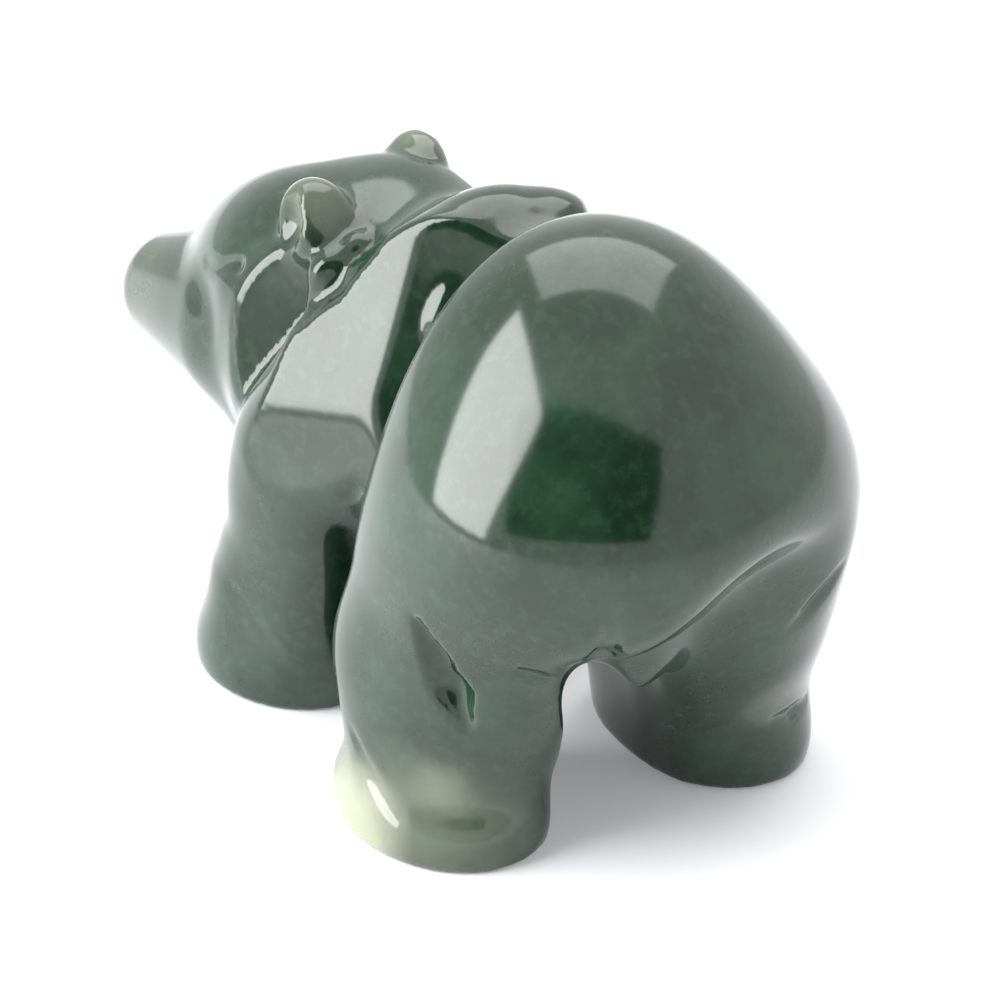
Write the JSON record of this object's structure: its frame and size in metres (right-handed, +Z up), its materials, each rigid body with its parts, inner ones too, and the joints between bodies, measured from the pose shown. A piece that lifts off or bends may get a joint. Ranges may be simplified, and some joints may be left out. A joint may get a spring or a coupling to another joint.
{
  "type": "jade bear carving",
  "caption": "Walking bear carved from one block of polished green nephrite jade, head lowered and turned to its left, standing on flat-soled feet.",
  "frame": {"origin": "on the ground, under the middle of the carving's bounding box", "axes": "+Z up from the ground, -Y the way the bear walks, +X its left side"},
  "size_m": [0.0344, 0.064, 0.0407],
  "materials": {
    "jade": "nephrite jade, polished to a mirror gloss, mottled dark and pale green"
  },
  "bodies": {
    "root": {"bear": "jade"}
  },
  "joints": []
}
